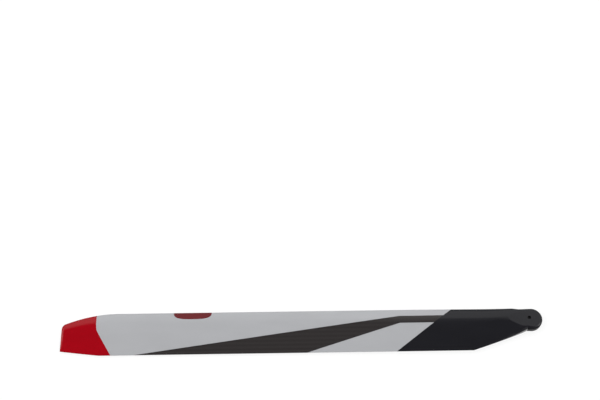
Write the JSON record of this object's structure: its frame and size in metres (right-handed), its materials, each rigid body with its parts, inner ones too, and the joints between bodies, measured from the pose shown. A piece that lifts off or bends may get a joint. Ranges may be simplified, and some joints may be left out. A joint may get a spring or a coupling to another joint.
{
  "type": "helicopter rotor blade",
  "caption": "Moulded main rotor blade of a model helicopter: symmetrical airfoil, thick root with flat clamping pads and a bolt hole, cut back trailing edge, swept tip.",
  "frame": {"origin": "on the bolt hole's axis, half way between the two clamping pads", "axes": "+X out along the span to the tip, +Y from the leading edge to the trailing edge, +Z along the bolt hole out of the upper face"},
  "size_m": [0.7095, 0.0644, 0.014],
  "materials": {
    "blade": "gloss clear coat over light grey paint, with a black root, a dark woven fibre stripe and a red tip"
  },
  "bodies": {
    "root": {"blade": "blade"}
  },
  "joints": []
}
